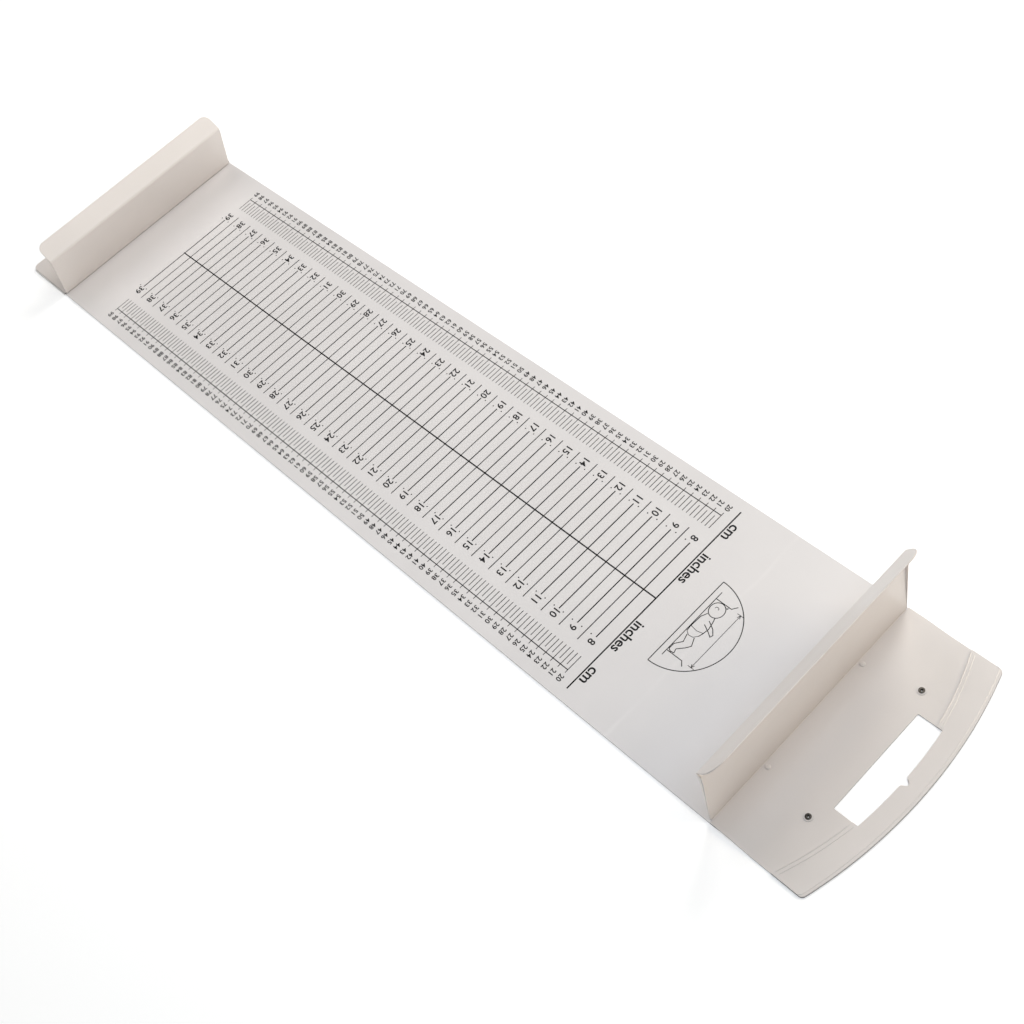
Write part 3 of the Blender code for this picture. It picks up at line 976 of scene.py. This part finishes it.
def make_numbers():
    shape = bmesh.new()
    for side in (-1, 1):
        for number in range(CM_FIRST, CM_LAST + 1):
            place = (number, side * CM_NUMBER_W, CM_NUMBER_HEIGHT)
            write(shape, str(number), *place, CM_NUMBER_BOLD, NUMBER_SQUEEZE)
        for number in range(INCH_FIRST, INCH_LAST + 1):
            place = (number * INCH / CM, side * INCH_NUMBER_W, INCH_NUMBER_HEIGHT)
            write(shape, str(number), *place, INCH_NUMBER_BOLD, NUMBER_SQUEEZE)
    face_up(shape)
    finish_mesh("print_numbers", shape, PRINT, "mat")


def make_labels():
    shape = bmesh.new()
    for text, u, height, places in LABELS:
        for w in places:
            write(shape, text, u, w, height, LABEL_BOLD)
    face_up(shape)
    finish_mesh("print_labels", shape, PRINT, "mat")


def arc_points(a, b, radius_a, radius_b, start, end, steps):
    """Points (across, up) on an ellipse's arc, for the pictogram."""
    found = []
    for step in range(steps + 1):
        t = math.radians(start + (end - start) * step / steps)
        found.append((a + radius_a * math.cos(t), b + radius_b * math.sin(t)))
    return found


BASE_U = 14.8
OUTLINE, DRAWN, DETAIL = 0.095, 0.085, 0.06
LEFT_STOP, RIGHT_STOP = -3.55, 3.45
ARROW_UP = 3.70
# The pictogram's parts as points (across, up) from the middle of its flat side
STOP_DRAWINGS = (
    [(LEFT_STOP, 0.65), (LEFT_STOP, 2.55), (LEFT_STOP - 0.55, 2.95)],
    [(RIGHT_STOP, 0.65), (RIGHT_STOP, 2.55), (RIGHT_STOP + 0.45, 2.95)],
)
HAIR = [(-3.30, 2.08), (-3.42, 2.30), (-3.20, 2.22)]
TRUNK_TOP = [(-1.85, 1.98), (-1.45, 2.12), (-0.6, 2.30), (0.1, 2.20), (0.55, 2.05)]
TRUNK_LOW = [(-1.85, 1.10), (-1.2, 0.78), (0.2, 0.72), (0.75, 0.78)]
NAPPY_WAIST = [(0.05, 2.20), (0.22, 1.50), (0.10, 0.74)]
NAPPY_LEGS = [(0.55, 2.05), (0.95, 1.70), (1.02, 1.20), (0.75, 0.78)]
ARM = [
    (-1.30, 1.75),
    (-0.85, 2.60),
    (-0.35, 3.05),
    (-0.05, 2.95),
    (-0.30, 2.55),
    (-0.75, 1.65),
]
LEG_TOP = [(0.90, 1.85), (1.75, 2.25), (2.25, 1.90), (2.85, 1.30), (3.30, 1.42), (3.36, 1.00)]
LEG_LOW = [(3.36, 1.00), (3.20, 0.74), (2.55, 0.76), (1.85, 1.30), (1.02, 1.05)]


def make_pictogram():
    """A plain drawing of what the mat is for: an infant lying between two stops."""
    shape = bmesh.new()

    def draw(points, width=DRAWN, closed=False):
        stroke(shape, [(BASE_U - up, across) for across, up in points], width, closed)

    # the half round frame and the mat
    draw([(-5.36, 0.0), (5.36, 0.0)], OUTLINE)
    draw(arc_points(0.0, 0.0, 5.36, 5.45, 0, 180, 60), OUTLINE)
    draw([(-4.4, 0.65), (4.1, 0.65)])
    for points in STOP_DRAWINGS:
        draw(points)
    # head, ear and hair tuft
    draw(arc_points(-2.62, 1.58, 0.86, 0.80, 0, 360, 30)[:-1], closed=True)
    draw(arc_points(-2.75, 1.45, 0.16, 0.20, 70, 290, 8), DETAIL)
    draw(HAIR, DETAIL)
    draw(TRUNK_TOP)
    draw(TRUNK_LOW)
    draw(NAPPY_WAIST, DETAIL)
    draw(NAPPY_LEGS, DETAIL)
    draw(ARM)
    draw(LEG_TOP)
    draw(LEG_LOW)
    # dimension arrow
    draw([(LEFT_STOP, ARROW_UP), (RIGHT_STOP, ARROW_UP)], DETAIL)
    for across, step in ((LEFT_STOP, 0.35), (RIGHT_STOP, -0.35)):
        head = (across, ARROW_UP)
        draw([(across + step, 3.86), head, (across + step, 3.54)], DETAIL)
        draw([(across, 3.30), (across, 4.05)], DETAIL)
    face_up(shape)
    finish_mesh("print_pictogram", shape, PRINT, "mat")


make_scale()
make_numbers()
make_labels()
make_pictogram()

# ---------------------------------------------------------------- stage, light, camera

FLOOR_REACH = 6.0
FLOOR_GLOW = 0.33
WORLD_STRENGTH = 0.10
WHITE = (1.0, 1.0, 1.0)
# The camera's place and directions were solved from the printed scale in the photograph
CAMERA_PLACE = (-0.9460, 0.4139, 1.2220)
CAMERA_RIGHT = (-0.67970367, -0.69926188, -0.22144015)
CAMERA_FORWARD = (0.53206248, -0.26223248, -0.80507369)
CAMERA_LENS = 52.08
CAMERA_SENSOR = 36.0
CAMERA_CLIP = 0.01
# Name, place, target, size, power and colour
LIGHTS = (
    ("top_near", (-1.0, -0.1, 2.0), (-0.4, 0, 0), (1.2, 1.2), 14.3, (0.800, 0.895, 1.000)),
    ("top_far", (1.1, -0.1, 2.0), (0.4, 0, 0), (1.2, 1.2), 12.5, (1.000, 0.979, 0.979)),
    ("side", (-0.3, -1.7, 1.0), (-0.1, 0, 0), (2.0, 0.9), 4.6, (0.740, 0.880, 1.000)),
    ("near_right", (-1.5, -1.2, 0.9), (-0.5, 0, 0), (0.9, 0.8), 11.0, (1.000, 0.860, 0.660)),
    ("far_left", (1.2, 1.3, 1.3), (0.5, 0, 0), (0.9, 0.8), 2.5, (0.987, 1.000, 0.887)),
    ("far_right", (0.0, -1.2, 1.5), (1.3, 0, 0), (0.9, 0.8), 15.7, (1.000, 0.952, 0.862)),
)


def make_floor():
    """The plain pale floor, with a little glow of its own so that it stays white."""
    shape = bmesh.new()
    corners = [
        (-FLOOR_REACH, -FLOOR_REACH),
        (FLOOR_REACH, -FLOOR_REACH),
        (FLOOR_REACH, FLOOR_REACH),
        (-FLOOR_REACH, FLOOR_REACH),
    ]
    shape.faces.new([shape.verts.new((x, y, 0.0)) for x, y in corners])
    mesh = bpy.data.meshes.new("studio_floor")
    shape.to_mesh(mesh)
    shape.free()
    floor = bpy.data.objects.new("studio_floor", mesh)
    bpy.context.scene.collection.objects.link(floor)
    made = bpy.data.materials.new("floor_white")
    made.use_nodes = True
    shader = made.node_tree.nodes["Principled BSDF"]
    shader.inputs["Base Color"].default_value = (0.95, 0.95, 0.95, 1)
    shader.inputs["Roughness"].default_value = 0.9
    shader.inputs["Specular IOR Level"].default_value = 0.1
    shader.inputs["Emission Color"].default_value = (*WHITE, 1)
    shader.inputs["Emission Strength"].default_value = FLOOR_GLOW
    mesh.materials.append(made)


def area_light(name, place, target, size, power, colour):
    data = bpy.data.lights.new(name, "AREA")
    data.shape = "RECTANGLE"
    data.size, data.size_y = size
    data.energy = power
    data.color = colour
    light = bpy.data.objects.new(name, data)
    bpy.context.scene.collection.objects.link(light)
    light.location = place
    light.rotation_euler = (Vector(target) - Vector(place)).to_track_quat("-Z", "Y").to_euler()


def make_world(strength, colour):
    world = bpy.data.worlds.new("studio")
    world.use_nodes = True
    background = world.node_tree.nodes["Background"]
    background.inputs["Color"].default_value = (*colour, 1)
    background.inputs["Strength"].default_value = strength
    bpy.context.scene.world = world


def make_camera():
    right = Vector(CAMERA_RIGHT).normalized()
    forward = Vector(CAMERA_FORWARD).normalized()
    up = right.cross(forward)
    turn = Matrix((right, up, -forward)).transposed()
    data = bpy.data.cameras.new("camera")
    data.sensor_width = CAMERA_SENSOR
    data.lens = CAMERA_LENS
    data.clip_start = CAMERA_CLIP
    camera = bpy.data.objects.new("camera", data)
    bpy.context.scene.collection.objects.link(camera)
    camera.matrix_world = Matrix.Translation(CAMERA_PLACE) @ turn.to_4x4()
    bpy.context.scene.camera = camera


make_floor()
make_world(WORLD_STRENGTH, WHITE)
for light in LIGHTS:
    area_light(*light)
make_camera()

view = bpy.context.scene.view_settings
view.view_transform = "Standard"
view.look = "None"
view.exposure = 0.0
view.gamma = 1.0
